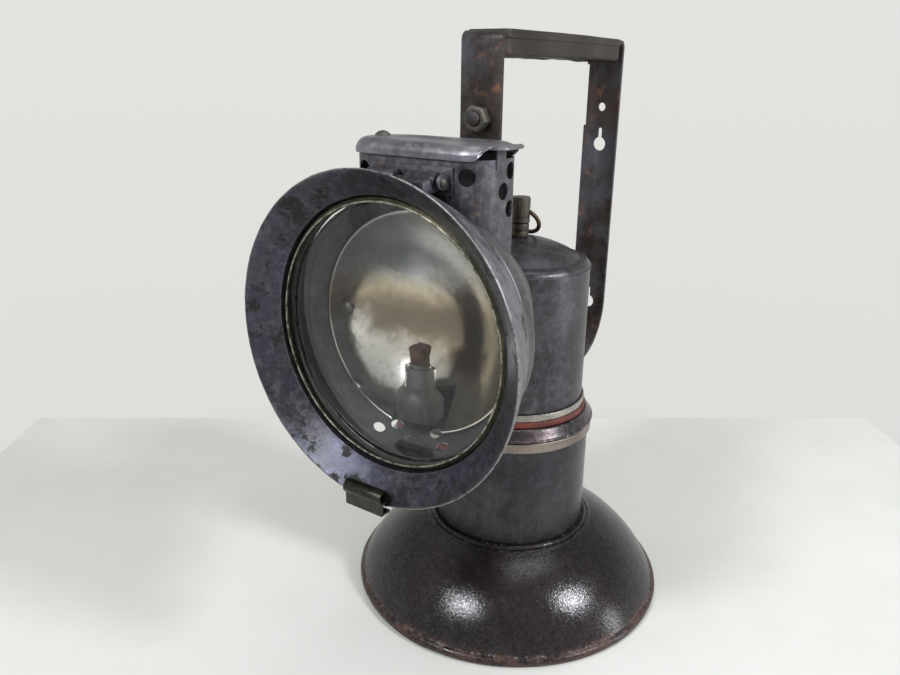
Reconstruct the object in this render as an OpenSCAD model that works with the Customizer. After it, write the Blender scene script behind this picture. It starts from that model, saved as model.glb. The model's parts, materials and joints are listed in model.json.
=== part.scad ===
// Carbide hand lamp: a water tank screwed on a carbide container, with a hinged glass door on its head.
// Millimetres. +Z is up, the lamp faces -Y, and the origin is the centre of the foot's resting ring.

/* [Foot and container] */
// Diameter of the rolled rim that the lamp stands on
foot_d = 165; // [163:1:172]
// Height of the foot where its neck meets the container
foot_h = 37; // [36:0.5:38.5]
// Outer diameter of the carbide container
container_d = 80; // [79.6:0.2:80]
// Wall thickness of the pressed sheet
sheet = 0.9; // [0.7:0.1:1]

/* [Water tank] */
// Outer diameter of the water tank
tank_d = 71.2; // [71:0.1:71.4]
// Height of the seam between the tank's wall and its dome
tank_seam_z = 177; // [172:1:182]
// Rise of the dome above the seam
dome_rise = 13; // [10:1:13]

/* [Lamp head] */
// Height of the centre line of the head
head_z = 166; // [165:0.5:167]
// Diameter of the door's flared rim
rim_d = 134.8; // [132:0.4:136]
// Distance from the tank's axis to the front of the rim
rim_front = 117.2; // [116.8:0.2:118]
// Outer diameter of the drum
drum_d = 107; // [106:0.5:107.4]

/* [Chimney] */
// Width of the chimney box, side to side
box_w = 66; // [62:1:68]
// Depth of the chimney box, front to back
box_d = 30; // [28:1:30]
// Height of the chimney box's top edge
box_top = 235; // [232:1:236]
// Diameter of the draught holes
draught_hole_d = 6.6; // [4:0.2:7]

/* [Handle] */
// Height of the top of the handle
handle_top = 283; // [276:1:290]
// Width of the flat iron strap
strap_w = 20; // [18:1:22]
// Thickness of the flat iron strap
strap_t = 2; // [1.6:0.1:2]
// Distance between the two keyholes, up and down
keyhole_pitch = 92; // [84:1:94]
// Diameter of each keyhole's round end
keyhole_d = 7.6; // [6:0.2:8]

/* [Hidden] */
$fn = 96;
e = 0.01;                       // overlap that joins two shapes of one solid

rim_r = foot_d / 2;
rim_roll_r = 2.5;               // outside radius of the rolled rim
rim_roll_z = 2.3;               // centre height: a flat ring is left where the roll stands on the floor
wire_r = 1.2;
container_r = container_d / 2;
container_z0 = 10;
container_z1 = 97;
band_z0 = 91.4;
band_z1 = 96.6;
collar_top = 103;
collar_bore_r = 36.5;           // clearance bore for the tank's spigot
spigot_r = 36.4;
spigot_z0 = 94;
gasket_z0 = collar_top + 0.05;
gasket_r = 37.5;
gasket_z1 = 106.2;
ring_r = 36.8;
ring_z0 = gasket_z1 + 0.1;
ring_z1 = ring_z0 + 3.3;
tank_r = tank_d / 2;
tank_wall = 0.8;
shell_z0 = ring_z0 + 1;
dome_top = tank_seam_z + dome_rise;

spindle_r = 1.5;
knob_r = 4.8;
knob_z0 = dome_top + 7;
knob_z1 = knob_z0 + 12;
ring_hole = [0, 2.3, knob_z0 + 4.9];
ring_hole_r = 1.95;
pull_r = 7.2;                   // middle radius of the pull ring
pull_wire_r = 1.05;
pull_lean = 33;                 // the ring leans out against the side of the knob

pipe_r = 3.5;
pipe_y = -20;                   // where the gas pipe stands in the tank
pipe_z = 134;                   // where it leaves through the front wall
pipe_bend = 8;
burner_y = -67;

drum_r = drum_d / 2;
drum_front = 95.6;
drum_back = 80.5;
cone_r = 30.2;                  // the head's back narrows to a flat disc of this radius
cone_end = 39;
skin = 0.8;
dish_r = 46;                    // radius of the reflector's edge
dish_edge = 71;
dish_sphere = 54.8;
dish_t = 0.7;

rim_r_head = rim_d / 2;
throat_r = 56.2;                // inside radius of the flare, at the glass
throat = rim_front - 10.8;
skirt_r = 57;                   // outside radius of the door's back edge
skirt_back = 92;
hinge_y = -91.6;
hinge_z = 227;
knuckle_r = 3.4;
knuckle_x = 9.5;
knuckle_w = 12;
hinge_pin_r = 1.2;

box_r = 12;
box_y = -72;
box_wall = 0.8;
lid_t = 0.9;
lid_top = box_top + 5.2;
lid_over = 1.25;                // overhang of the lid past the box
lid_roll = 4.4;                 // radius of the lid's rolled edge
lid_rivet = [-25.5, -73];

catch_y = -112.5;
catch_z = 98;
catch_pin_r = 0.9;
roll_y = -119.3;
roll_z = 104.4;
roll_r = 3;
roll_w = 19;

leg_front = -38.9;              // outer face of the front leg
leg_rear = 89.5;                // outer face of the rear leg
bar_top = handle_top - 0.8;     // the grip's sheet covers the strap
bend_r = 4;
sweep_r = 31;                   // outside radius of the lower bend of the rear leg
sweep_y = leg_rear - sweep_r;
sweep_z = 138;
tab_r = tank_r + 2.9;            // outside radius of the strap's end tab
keyhole_z = 228;
round_hole_z = 248;
nut_z = 247;
rivet_z = [148, 170];

// ---- helpers -------------------------------------------------------------------------------------

// Turns an outline of [radius, height] points about the lamp's upright axis.
module around_z() { rotate_extrude() children(); }

// Turns an outline of [radius, distance in front of the tank's axis] about the head's axis.
module around_head() { translate([0, 0, head_z]) rotate([90, 0, 0]) rotate_extrude() children(); }

// A rectangle from one corner to the other.
module span2(x0, y0, x1, y1) { translate([x0, y0]) square([x1 - x0, y1 - y0]); }

// A box from one corner to the other.
module span3(a, b) { translate(a) cube(b - a); }

// Extrudes an outline of [y, z] points along X, centred on x.
module along_x(w, x = 0) {
    translate([x - w / 2, 0, 0]) rotate([90, 0, 90]) linear_extrude(w) children();
}

// A band between two radii and two angles, less than 180 degrees apart.
module arc_band(r_in, r_out, a0, a1) {
    far = 2.5 * r_out;
    mid = (a0 + a1) / 2;
    intersection() {
        difference() { circle(r_out); circle(r_in); }
        polygon([[0, 0], far * [cos(a0), sin(a0)], far * [cos(mid), sin(mid)],
            far * [cos(a1), sin(a1)]]);
    }
}

// A round bar along Y, X or Z between two places.
module bar_y(r, y0, y1, x = 0, z = 0) {
    translate([x, y1, z]) rotate([90, 0, 0]) cylinder(r = r, h = y1 - y0);
}

module bar_x(r, x0, x1, y = 0, z = 0) {
    translate([x0, y, z]) rotate([0, 90, 0]) cylinder(r = r, h = x1 - x0);
}

module bar_z(r, z0, z1, x = 0, y = 0) { translate([x, y, z0]) cylinder(r = r, h = z1 - z0); }

// A dome of height h on a base of radius r, pointing up.
module dome(r, h) {
    s = (r * r + h * h) / (2 * h);
    intersection() {
        translate([0, 0, h - s]) sphere(s);
        cylinder(r = r + 1, h = h + 1);
    }
}

// ---- foot and carbide container ------------------------------------------------------------------

// The bell's outer face is an arc from the rolled rim up to the neck.
bell_r = 63.35;
bell_c = [rim_r - 59.7, foot_h - 58.8];

module foot_skirt() {
    color("#2b2523") around_z() {
        intersection() {
            translate(bell_c) arc_band(bell_r - 1.2, bell_r, 20, 80);
            union() {
                span2(container_r + 0.9, 3.8, rim_r, foot_h);
                span2(container_r + 3.2, 3.8, rim_r, foot_h + 1);
            }
        }
        // neck that grips the container
        span2(container_r + 0.05, foot_h - 4, container_r + 1.3, foot_h);
        span2(container_r + 0.05, foot_h - 1.2, container_r + 4.5, foot_h);
        // rolled rim round its wire
        intersection() {
            translate([rim_r - rim_roll_r, rim_roll_z]) difference() {
                circle(rim_roll_r);
                circle(wire_r + 0.05);
            }
            span2(70, 0, 100, 10);
        }
    }
}

module foot_rim_wire() {
    color("#4a3a32") around_z() translate([rim_r - rim_roll_r, rim_roll_z]) circle(wire_r, $fn = 32);
}

module foot_bead() {
    color("#332c29") around_z() difference() {
        translate([container_r + 1.3, foot_h + 1.4]) circle(1.35, $fn = 40);
        span2(0, 0, container_r + 0.05, 60);
    }
}

module carbide_container() {
    color("#3f4147") around_z() {
        span2(0, container_z0, container_r, container_z0 + sheet);
        span2(container_r - sheet, container_z0, container_r, container_z1);
    }
}

module container_band() {
    color("#8c8468") around_z() span2(container_r + 0.02, band_z0, container_r + 1.2, band_z1);
}

module container_collar() {
    color("#85818a") around_z() polygon([[collar_bore_r, 91], [container_r - sheet - 0.05, 91],
        [container_r - sheet - 0.05, 97.1], [container_r + 1.2, 97.1], [container_r + 1.9, 97.5],
        [container_r + 1.9, 98.1], [container_r + 1.1, 98.6], [38.2, collar_top],
        [collar_bore_r, collar_top]]);
}

module sealing_gasket() {
    color("#9c3a2c") around_z() span2(spigot_r + 0.15, gasket_z0, gasket_r, gasket_z1);
}

// ---- water tank ----------------------------------------------------------------------------------

module tank_ring() {
    color("#a9a79f") around_z() {
        span2(34, spigot_z0, spigot_r, ring_z0 + e);
        span2(34, ring_z0, ring_r, shell_z0);
        span2(tank_r, shell_z0 - e, ring_r, ring_z1);
    }
}

module tank_floor() {
    color("#77756f") difference() {
        bar_z(tank_r - tank_wall, shell_z0, shell_z0 + 1);
        bar_z(2.5, 100, 110);
        bar_z(pipe_r, 100, 110, 0, pipe_y);
    }
}

module tank_shell() {
    color("#55545a") difference() {
        bar_z(tank_r, shell_z0, tank_seam_z);
        bar_z(tank_r - tank_wall, shell_z0 - 1, tank_seam_z + 1);
        bar_y(pipe_r, -45, pipe_y, 0, pipe_z);
        for (z = rivet_z) bar_y(1.6, -45, -20, 0, z);
        for (x = [-5.5, 5.5]) bar_y(1.6, 20, 45, x, 117);
    }
}

// A spherical dome with a rounded shoulder and a lap over the top of the wall.
module tank_dome() {
    shoulder = 4;
    r0 = tank_r + 0.15;
    ro = tank_r - shoulder;
    rise = dome_rise - 3;
    s = (ro * ro + rise * rise) / (2 * rise);
    color("#515056") difference() {
        union() {
            intersection() {
                translate([0, 0, dome_top - s]) sphere(s);
                bar_z(ro + 2.2, tank_seam_z + 0.4, dome_top + 1);
            }
            around_z() {
                span2(0, tank_seam_z, r0, tank_seam_z + 0.8);
                intersection() {
                    translate([r0 - shoulder, tank_seam_z + 0.8]) circle(shoulder);
                    span2(0, tank_seam_z + 0.79, r0, tank_seam_z + 3.4);
                }
                span2(0, tank_seam_z + 0.7, r0 - shoulder, tank_seam_z + 3.4);
            }
        }
        translate([0, 0, dome_top - s]) intersection() {
            sphere(s - 0.9);
            bar_z(ro, 0, 2 * s);
        }
        bar_z(tank_r - 2.2, tank_seam_z - 1, tank_seam_z + 2.2);
        bar_z(3.6, tank_seam_z, dome_top + 2);
    }
}

module valve_gland() {
    color("#6f665a") difference() {
        union() {
            bar_z(3.6, dome_top - 3.5, dome_top + 1);
            bar_z(4.4, dome_top - 0.1, dome_top + 2.6);
            bar_z(4.1, dome_top + 2.5, dome_top + 3.2);
            bar_z(4.5, dome_top + 3.1, dome_top + 6.4);
        }
        bar_z(spindle_r + 0.05, dome_top - 4, dome_top + 7);
    }
}

module drip_tube() {
    color("#8a7a4e") difference() {
        union() {
            bar_z(2.5, 86, shell_z0 + 2);
            bar_z(5, shell_z0 + 1, 114.5);
        }
        bar_z(1.1, 85, 109);
        bar_z(0.7, 108, 111);
        bar_z(1.7, 110.4, 115);
        for (a = [0, 90]) rotate(a) bar_y(0.9, -6, 6, 0, 112.8);
    }
}

// ---- water valve ---------------------------------------------------------------------------------

module valve_spindle() {
    color("#8a7a4e") {
        bar_z(spindle_r, 112.3, knob_z0 + 1.6);
        translate([0, 0, 110.55]) cylinder(r1 = 0.5, r2 = spindle_r - 0.02, h = 1.76);
    }
}

module valve_knob() {
    grooves = 20;
    color("#5d5348") difference() {
        union() {
            bar_z(knob_r - 0.25, knob_z0, knob_z1);
            bar_z(knob_r, knob_z0, knob_z0 + 1.2);
            bar_z(knob_r, knob_z0 + 2, knob_z1 - 0.8);
        }
        bar_z(spindle_r + 0.02, knob_z0 - 1, knob_z0 + 1.62);
        bar_x(ring_hole_r, -10, 10, ring_hole.y, ring_hole.z);
        for (i = [0:grooves - 1]) rotate((i + 0.5) * 360 / grooves)
            bar_z(0.28, knob_z1 - 4.2, knob_z1 + 1, knob_r + 0.1);
    }
}

module pull_ring() {
    // The wire runs through the hole, 0.8 mm past its centre, and the rest of the ring hangs below.
    color("#5a4838") translate(ring_hole) rotate([pull_lean, 0, 0])
        translate([0, 0, 0.8 - pull_r]) rotate([90, 0, 0])
        rotate_extrude() translate([pull_r, 0]) circle(pull_wire_r, $fn = 32);
}

// ---- gas way and burner --------------------------------------------------------------------------

module gas_pipe() {
    color("#7d6f4c") difference() {
        union() {
            bar_z(pipe_r, 102, pipe_z - pipe_bend, 0, pipe_y);
            pipe_elbow(pipe_r);
            bar_y(pipe_r, burner_y + 9, pipe_y - pipe_bend, 0, pipe_z);
        }
        bar_z(pipe_r - 1, 101, pipe_z - pipe_bend + e, 0, pipe_y);
        pipe_elbow(pipe_r - 1);
        bar_y(pipe_r - 1, burner_y + 8, pipe_y - pipe_bend + e, 0, pipe_z);
    }
}

module pipe_elbow(r) {
    translate([0, pipe_y - pipe_bend, pipe_z - pipe_bend]) rotate([90, 0, 90])
        rotate_extrude(angle = 90) translate([pipe_bend, 0]) circle(r, $fn = 48);
}

module burner_holder() {
    color("#73716c") intersection() {
        back_room();
        translate([0, burner_y, 0]) burner_block();
    }
}

module burner_block() {
    difference() {
        union() {
            bar_z(9.5, 124.5, 127);
            bar_z(11, 126.9, 135);
            translate([0, 0, 134.9]) dome(11, 6);
            bar_z(7, 138, 147.5);
            bar_z(5, 147.4, 149);
            bar_y(4.6, 5, 13, 0, pipe_z);
        }
        bar_z(2, 130, 150);
        bar_y(pipe_r, 9, 14, 0, pipe_z);
        bar_y(2, 0, 10, 0, pipe_z);
    }
}

module burner_tips() {
    color("#8a6a52") translate([0, burner_y, 149.1]) difference() {
        union() {
            bar_z(4.4, 0, 2.6);
            for (s = [-1, 1]) rotate([-26 * s, 0, 0]) translate([0, 1.2 * s, 1.2]) cylinder(r = 3.1, h = 7.4);
        }
        for (s = [-1, 1]) rotate([-26 * s, 0, 0]) translate([0, 1.2 * s, 3]) cylinder(r = 0.5, h = 7);
        translate([0, 0, -3]) cube([20, 20, 6], center = true);
    }
}

// ---- lamp head -----------------------------------------------------------------------------------

back_slope = (drum_back - cone_end) / (drum_r - cone_r);
back_drop = skin * sqrt(1 + back_slope * back_slope) / back_slope;

// The solid outline of drum and back together, and the room inside the back.
module head_solid() {
    around_head() polygon([[0, cone_end], [cone_r, cone_end], [drum_r, drum_back], [drum_r, drum_front],
        [0, drum_front]]);
}

module back_room() {
    around_head() polygon([[0, cone_end + skin], [cone_r - back_drop + skin / back_slope, cone_end + skin],
        [drum_r - back_drop, drum_back], [0, drum_back]]);
}

module box_outline(inset = 0) {
    r = box_r - inset;
    w = box_w / 2 - box_r;
    d = box_d / 2 - box_r;
    for (x = [-w, w]) for (y = [-d, d]) translate([x, y]) circle(r);
    square([2 * w, 2 * (d + r)], center = true);
    square([2 * (w + r), 2 * d], center = true);
}

module box_bore(inset = box_wall) {
    translate([0, box_y, head_z + 10]) linear_extrude(80) box_outline(inset);
}

module drum_bead() { translate([drum_r - 0.3, 86.2]) circle(0.8, $fn = 32); }

module head_drum() {
    color("#6b6a70") difference() {
        around_head() {
            span2(drum_r - skin, drum_back, drum_r, drum_front);
            difference() {
                drum_bead();
                span2(0, 80, drum_r - skin, 90);
            }
        }
        box_bore();
    }
}

module head_back() {
    vents = [[-19.3, 77], [-12.2, 70.5], [-1.6, 76.3], [11.4, 69.4], [17.6, 77]];
    color("#636268") difference() {
        around_head() polygon([[0, cone_end], [cone_r, cone_end], [drum_r, drum_back],
            [drum_r - back_drop, drum_back],
            [cone_r - back_drop + skin / back_slope, cone_end + skin], [0, cone_end + skin]]);
        box_bore();
        for (v = vents) translate([0, -v[1], head_z]) rotate([0, -v[0], 0]) bar_z(2.9, -60, -30);
        bar_y(pipe_r, -58, -35, 0, pipe_z);
        for (z = rivet_z) bar_y(1.6, -45, -35, 0, z);
    }
}

module dish_solid(r) {
    middle = dish_edge + sqrt(dish_sphere * dish_sphere - dish_r * dish_r);
    translate([0, -middle, head_z]) sphere(r, $fn = 128);
}

screw_x = 38;

module reflector() {
    color("#c9c2a8") difference() {
        intersection() {
            dish_solid(dish_sphere);
            around_head() span2(0, 40, dish_r, dish_edge);
        }
        dish_solid(dish_sphere - dish_t);
        bar_y(pipe_r + 1.4, -70, -40, 0, pipe_z);
        for (x = [-screw_x, screw_x]) bar_y(1.5, -75, -55, x, head_z);
        // slot that lets the burner holder sit low in the dish
        span3([-12.5, -80, 100], [12.5, -54.5, 142]);
        bar_z(8, 141.9, 150, 0, burner_y);
    }
}

module reflector_posts() {
    color("#6b6a6c") for (x = [-screw_x, screw_x]) difference() {
        intersection() {
            bar_y(3.2, -66, -45, x, head_z);
            back_room();
        }
        dish_solid(dish_sphere);
        bar_y(1.2, -70, -58.3, x, head_z);
    }
}

module reflector_screws() {
    color("#7a755c") for (x = [-screw_x, screw_x]) difference() {
        union() {
            bar_y(1.15, -66.5, -58.5, x, head_z);
            translate([x, -66, head_z]) rotate([90, 0, 0]) dome(3.3, 1.6);
        }
        span3([x - 4, -69, head_z - 0.4], [x + 4, -67, head_z + 0.4]);
    }
}

module head_rivets() {
    color("#4c4844") for (z = rivet_z) {
        bar_y(1.6, -40.2, -34.2, 0, z);
        translate([0, -39.85, z]) rotate([90, 0, 0]) dome(3, 1.4);
        translate([0, -34.6, z]) rotate([-90, 0, 0]) dome(2.8, 1.2);
    }
}

// ---- chimney -------------------------------------------------------------------------------------

module chimney_box() {
    front_holes = [[-24.5, 228.6], [24.5, 228.6]];
    side_holes = [[-68.2, 230.3], [-73.4, 223], [-68, 215.8]];
    color("#615f66") difference() {
        union() {
            translate([0, box_y, head_z + 14]) linear_extrude(box_top - head_z - 14) box_outline();
            // tab that holds the raised end of the lid, and a shelf for the lid's rivet
            span3([box_w / 2 - 1.2, -78.5, box_top - 4], [box_w / 2, -72, lid_top - lid_t]);
            span3([-box_w / 2 + 0.4, -77, box_top - 0.9], [lid_rivet.x + 4, -69, box_top]);
        }
        difference() {
            translate([0, box_y, head_z]) linear_extrude(100) box_outline(box_wall);
            span3([-box_w / 2, -77, box_top - 0.9], [lid_rivet.x + 4, -69, box_top]);
            span3([box_w / 2 - 1.2, -78.5, box_top - 4], [box_w / 2, -72, lid_top]);
        }
        bar_z(1.6, box_top - 2, box_top + 1, lid_rivet.x, lid_rivet.y);
        head_solid();
        around_head() drum_bead();
        for (h = front_holes) bar_y(draught_hole_d / 2, -95, -74, h[0], h[1]);
        for (h = side_holes) bar_x(draught_hole_d / 2, -50, 50, h[0], h[1]);
    }
}

// The solid outline of the lid: a rounded oblong whose upper edge is rolled to the radius r.
module lid_solid(out, r, top) {
    c = box_r + out;
    w = box_w / 2 - box_r;
    d = box_d / 2 - box_r;
    translate([0, box_y, 0]) {
        translate([0, 0, box_top - 0.5]) linear_extrude(top - r - box_top + 0.5) box_outline(-out);
        translate([0, 0, top - r]) linear_extrude(r) square([2 * w, 2 * (d + c - r)], center = true);
        translate([0, 0, top - r]) linear_extrude(r) square([2 * (w + c - r), 2 * d], center = true);
        for (x = [-w, w]) for (y = [-d, d]) translate([x, y, top - r]) rotate_extrude() {
            span2(0, 0, c - r, r);
            translate([c - r, 0]) intersection() { circle(r); span2(0, 0, r, r); }
        }
        for (x = [-1, 1]) translate([x * (w + c - r), d, top - r]) rotate([90, 0, 0])
            linear_extrude(2 * d) intersection() { circle(r); span2(-r, 0, r, r); }
        for (y = [-1, 1]) translate([-w, y * (d + c - r), top - r]) rotate([90, 0, 90])
            linear_extrude(2 * w) intersection() { circle(r); span2(-r, 0, r, r); }
    }
}

lid_cut = 30;                   // the lid's rolled edge ends here, and a raised flap goes on
flap_end = 37.4;

module chimney_lid() {
    color("#8f8e96") difference() {
        union() {
            difference() {
                lid_solid(lid_over, lid_roll, lid_top);
                lid_solid(lid_over - lid_t, lid_roll - lid_t, lid_top - lid_t);
                span3([lid_cut, -100, 200], [60, -40, 260]);
            }
            // raised flap with rounded corners
            translate([0, 0, lid_top - lid_t]) linear_extrude(lid_t) {
                span2(lid_cut - 2, box_y - 11, flap_end - 7, box_y + 11);
                span2(lid_cut - 2, box_y - 4, flap_end, box_y + 4);
                for (y = [-4, 4]) translate([flap_end - 7, box_y + y]) circle(7);
            }
        }
        bar_z(1.6, 230, 250, lid_rivet.x, lid_rivet.y);
    }
}

module lid_rivets() {
    color("#5b5952") translate([lid_rivet.x, lid_rivet.y, 0]) {
        bar_z(1.6, box_top - 1.4, lid_top + 0.4);
        bar_z(2.6, box_top, lid_top - lid_t);
        translate([0, 0, lid_top]) dome(3.7, 2.4);
        translate([0, 0, box_top - 0.9]) mirror([0, 0, 1]) dome(2.8, 1.2);
    }
}

// ---- door hinge ----------------------------------------------------------------------------------

module hinge_bracket() {
    back = box_y - box_d / 2;
    color("#58565c") difference() {
        union() {
            span3([-19.5, back - 0.9, 221.5], [19.5, back - 0.05, 232]);
            for (x = [-17.1, 17.1]) {
                span3([x - 0.6, hinge_y, hinge_z - 3], [x + 0.6, back - 0.1, hinge_z + 3]);
                bar_x(3, x - 0.6, x + 0.6, hinge_y, hinge_z);
            }
        }
        bar_x(hinge_pin_r, -30, 30, hinge_y, hinge_z);
    }
}

module hinge_pin() {
    color("#8a857c") {
        bar_x(hinge_pin_r, -18.6, 18.6, hinge_y, hinge_z);
        translate([17.8, hinge_y, hinge_z]) rotate([0, 90, 0]) dome(1.9, 1.4);
    }
}

// ---- door ----------------------------------------------------------------------------------------

module bezel_solid() {
    around_head() polygon([[0, skirt_back], [skirt_r, skirt_back], [rim_r_head, rim_front - 0.6],
        [rim_r_head - 0.5, rim_front], [0, rim_front]]);
}

module bezel_body() {
    color("#6a6a76") around_head() {
        // flare and tapered wall, folded at the rim
        polygon([[skirt_r, skirt_back], [rim_r_head, rim_front - 0.6], [rim_r_head - 0.5, rim_front],
            [throat_r, throat], [throat_r + 0.7, throat - 0.8],
            [rim_r_head - 2.4, rim_front - 3.6], [skirt_r - 0.95, skirt_back]]);
        // seat for the glass
        span2(throat_r, drum_front + 0.8, throat_r + 0.9, throat - 0.1);
        // back edge turned in towards the drum
        span2(drum_r + 0.8, skirt_back, skirt_r - 0.3, skirt_back + 0.9);
    }
}

module bezel_knuckles() {
    color("#5a5960") for (s = [-1, 1]) difference() {
        union() {
            bar_x(knuckle_r, s * knuckle_x - knuckle_w / 2, s * knuckle_x + knuckle_w / 2, hinge_y, hinge_z);
            along_x(knuckle_w - 1, s * knuckle_x) polygon([[-100.5, hinge_z - 4], [-100.5, hinge_z + 0.6],
                [-99, hinge_z + 0.9], [hinge_y - 2, hinge_z + 1.4], [hinge_y, hinge_z - 3],
                [hinge_y, hinge_z - 4]]);
        }
        bar_x(hinge_pin_r + 0.06, -30, 30, hinge_y, hinge_z);
        bezel_solid();
    }
}

module glass_ring() {
    color("#8f8650") around_head() polygon([[53.4, 105.1], [55.3, 102.75],
        [throat_r - 0.04, 102.75], [throat_r - 0.04, 103.6], [54, 106.2], [53.4, 106.2]]);
}

glass_sphere = 418;
glass_front = 105.9;

module glass_pane() {
    color([0.8, 0.85, 0.82, 0.4]) difference() {
        intersection() {
            bar_y(throat_r - 0.1, -107, -95, 0, head_z);
            translate([0, glass_sphere - glass_front, head_z]) sphere(glass_sphere, $fn = 360);
        }
        translate([0, glass_sphere - glass_front, head_z]) sphere(glass_sphere - 2.2, $fn = 360);
    }
}

module glass_seal() {
    color("#3a3a36") around_head() span2(53.6, 98.7, throat_r - 0.05, 99.7);
}

module glass_clip() {
    color("#77746a") around_head() translate([55.3, 97.8]) circle(0.8, $fn = 32);
}

// ---- catch under the door ------------------------------------------------------------------------

module catch_ears() {
    color("#5a5960") difference() {
        for (x = [-5.2, 5.2]) union() {
            bar_x(2, x - 0.6, x + 0.6, catch_y, catch_z);
            span3([x - 0.6, catch_y - 2, catch_z], [x + 0.6, catch_y + 2, catch_z + 7]);
        }
        bar_x(catch_pin_r, -10, 10, catch_y, catch_z);
        bezel_solid();
    }
}

module catch_pin() {
    color("#6a6862") bar_x(catch_pin_r, -6.4, 6.4, catch_y, catch_z);
}

module catch_lever() {
    t = 0.9;
    color("#2f2e2b") difference() {
        union() {
            bar_x(roll_r, -roll_w / 2, roll_w / 2, roll_y, roll_z);
            along_x(roll_w) span2(roll_y - 1.4, catch_z - 1.5, roll_y - 0.5, roll_z);
            along_x(roll_w) span2(roll_y - 1.4, catch_z - 1.5, catch_y - 3, catch_z - 0.6);
            along_x(9) polygon([[catch_y - 3.5, catch_z - 1.5], [catch_y, catch_z - 1.9], [-97, 102.8],
                [-88.5, 108.1], [-87, 110.4], [-82, 110.9], [-82, 111.5], [-87.6, 111.4], [-89.2, 109.1],
                [-97.3, 103.9], [catch_y, catch_z - 0.9], [catch_y - 3.5, catch_z - 0.6]]);
            bar_x(1.9, -4.3, 4.3, catch_y, catch_z);
        }
        bar_x(roll_r - t, -20, 20, roll_y, roll_z);
        bar_x(catch_pin_r + 0.05, -20, 20, catch_y, catch_z);
    }
}

// ---- handle --------------------------------------------------------------------------------------

// Side view of the bent strap, as [y, z].
module strap_path() {
    z1 = bar_top - bend_r;
    span2(leg_front, 118, leg_front + strap_t, z1);
    translate([leg_front + bend_r, z1]) arc_band(bend_r - strap_t, bend_r, 90, 180);
    span2(leg_front + bend_r, bar_top - strap_t, leg_rear - bend_r, bar_top);
    translate([leg_rear - bend_r, z1]) arc_band(bend_r - strap_t, bend_r, 0, 90);
    span2(leg_rear - strap_t, sweep_z, leg_rear, z1);
    translate([sweep_y, sweep_z]) arc_band(sweep_r - strap_t, sweep_r, 270, 360);
    span2(34, sweep_z - sweep_r, sweep_y, sweep_z - sweep_r + strap_t);
}

module keyhole(z) {
    bar_y(keyhole_d / 2, 80, 95, 0, z);
    bar_y(1.3, 80, 95, 0, z + 7.6);
    span3([-1.3, 80, z], [1.3, 95, z + 7.6]);
}

module handle_strap() {
    foot_z = sweep_z - sweep_r;
    color("#5b4438") difference() {
        union() {
            along_x(strap_w) strap_path();
            // end tab, bent up round the back of the tank
            intersection() {
                difference() { bar_z(tab_r, foot_z + 0.5, 124); bar_z(tank_r + 0.3, 90, 130); }
                span3([-strap_w / 2, 10, 100], [strap_w / 2, 60, 130]);
            }
        }
        bar_z(ring_r + 0.2, 100, ring_z1 + 0.2);
        bar_z(tank_r + 0.3, 100, 130);
        keyhole(keyhole_z);
        keyhole(keyhole_z - keyhole_pitch);
        bar_y(2.3, 80, 95, 0, round_hole_z);
        bar_y(3, -45, -30, 0, nut_z);
        bar_y(pipe_r, -45, -30, 0, pipe_z);
        for (z = rivet_z) bar_y(1.6, -45, -30, 0, z);
        for (x = [-5.5, 5.5]) bar_y(1.6, 25, 45, x, 117);
        // the rear leg is filed narrower above the upper keyhole
        span3([-20, 80, 238], [-8.8, 95, bar_top - 12]);
    }
}

module handle_grip() {
    y0 = leg_front + strap_t + 2.2;
    y1 = leg_rear - strap_t - 2.2;
    s = strap_w / 2;
    z = bar_top - strap_t;
    color("#5f554f") translate([0, y1, 0]) rotate([90, 0, 0]) linear_extrude(y1 - y0) {
        // cover over the top of the strap
        span2(-s - 0.8, bar_top, s + 0.8, handle_top);
        for (m = [0, 1]) mirror([m, 0]) {
            span2(s, z - 0.8, s + 0.8, bar_top + e);
            // side, rolled in at the bottom
            span2(s - 0.8, z - 5.5, s + e, z - 0.05);
            translate([s - 3, z - 5.5]) arc_band(2.2, 3, 270, 360);
            span2(s - 4.5, z - 8.5, s - 3 + e, z - 7.7);
        }
    }
}

module handle_rivets() {
    color("#4c3a30") for (x = [-5.5, 5.5]) {
        bar_y(1.6, 33.6, tab_r + 0.4, x, 117);
        translate([x, tab_r - 0.03, 117]) rotate([-90, 0, 0]) dome(2.9, 1.4);
        translate([x, 33.7, 117]) rotate([90, 0, 0]) dome(2.8, 1.2);
    }
}

module strap_bolt() {
    color("#6b4a36") {
        bar_y(2.95, leg_front - 6.2, leg_front + strap_t + 0.5, 0, nut_z);
        translate([0, leg_front + strap_t + 4, nut_z]) rotate([90, 30, 0]) cylinder(r = 5.77, h = 4, $fn = 6);
    }
}

module strap_nut() {
    color("#4d4a3f") difference() {
        translate([0, leg_front, nut_z]) rotate([90, 12, 0]) cylinder(r = 5.77, h = 5, $fn = 6);
        bar_y(2.97, -60, -30, 0, nut_z);
    }
}

foot_skirt();
foot_rim_wire();
foot_bead();
carbide_container();
container_band();
container_collar();
sealing_gasket();
tank_ring();
tank_floor();
tank_shell();
tank_dome();
valve_gland();
drip_tube();
valve_spindle();
valve_knob();
pull_ring();
gas_pipe();
burner_holder();
burner_tips();
head_drum();
head_back();
reflector();
reflector_posts();
reflector_screws();
head_rivets();
chimney_box();
chimney_lid();
lid_rivets();
hinge_bracket();
hinge_pin();
bezel_body();
bezel_knuckles();
glass_ring();
glass_pane();
glass_seal();
glass_clip();
catch_ears();
catch_pin();
catch_lever();
handle_strap();
handle_grip();
handle_rivets();
strap_bolt();
strap_nut();
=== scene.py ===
import json
import math

import bmesh
import bpy
import numpy as np
from mathutils import Matrix, Vector


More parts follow.
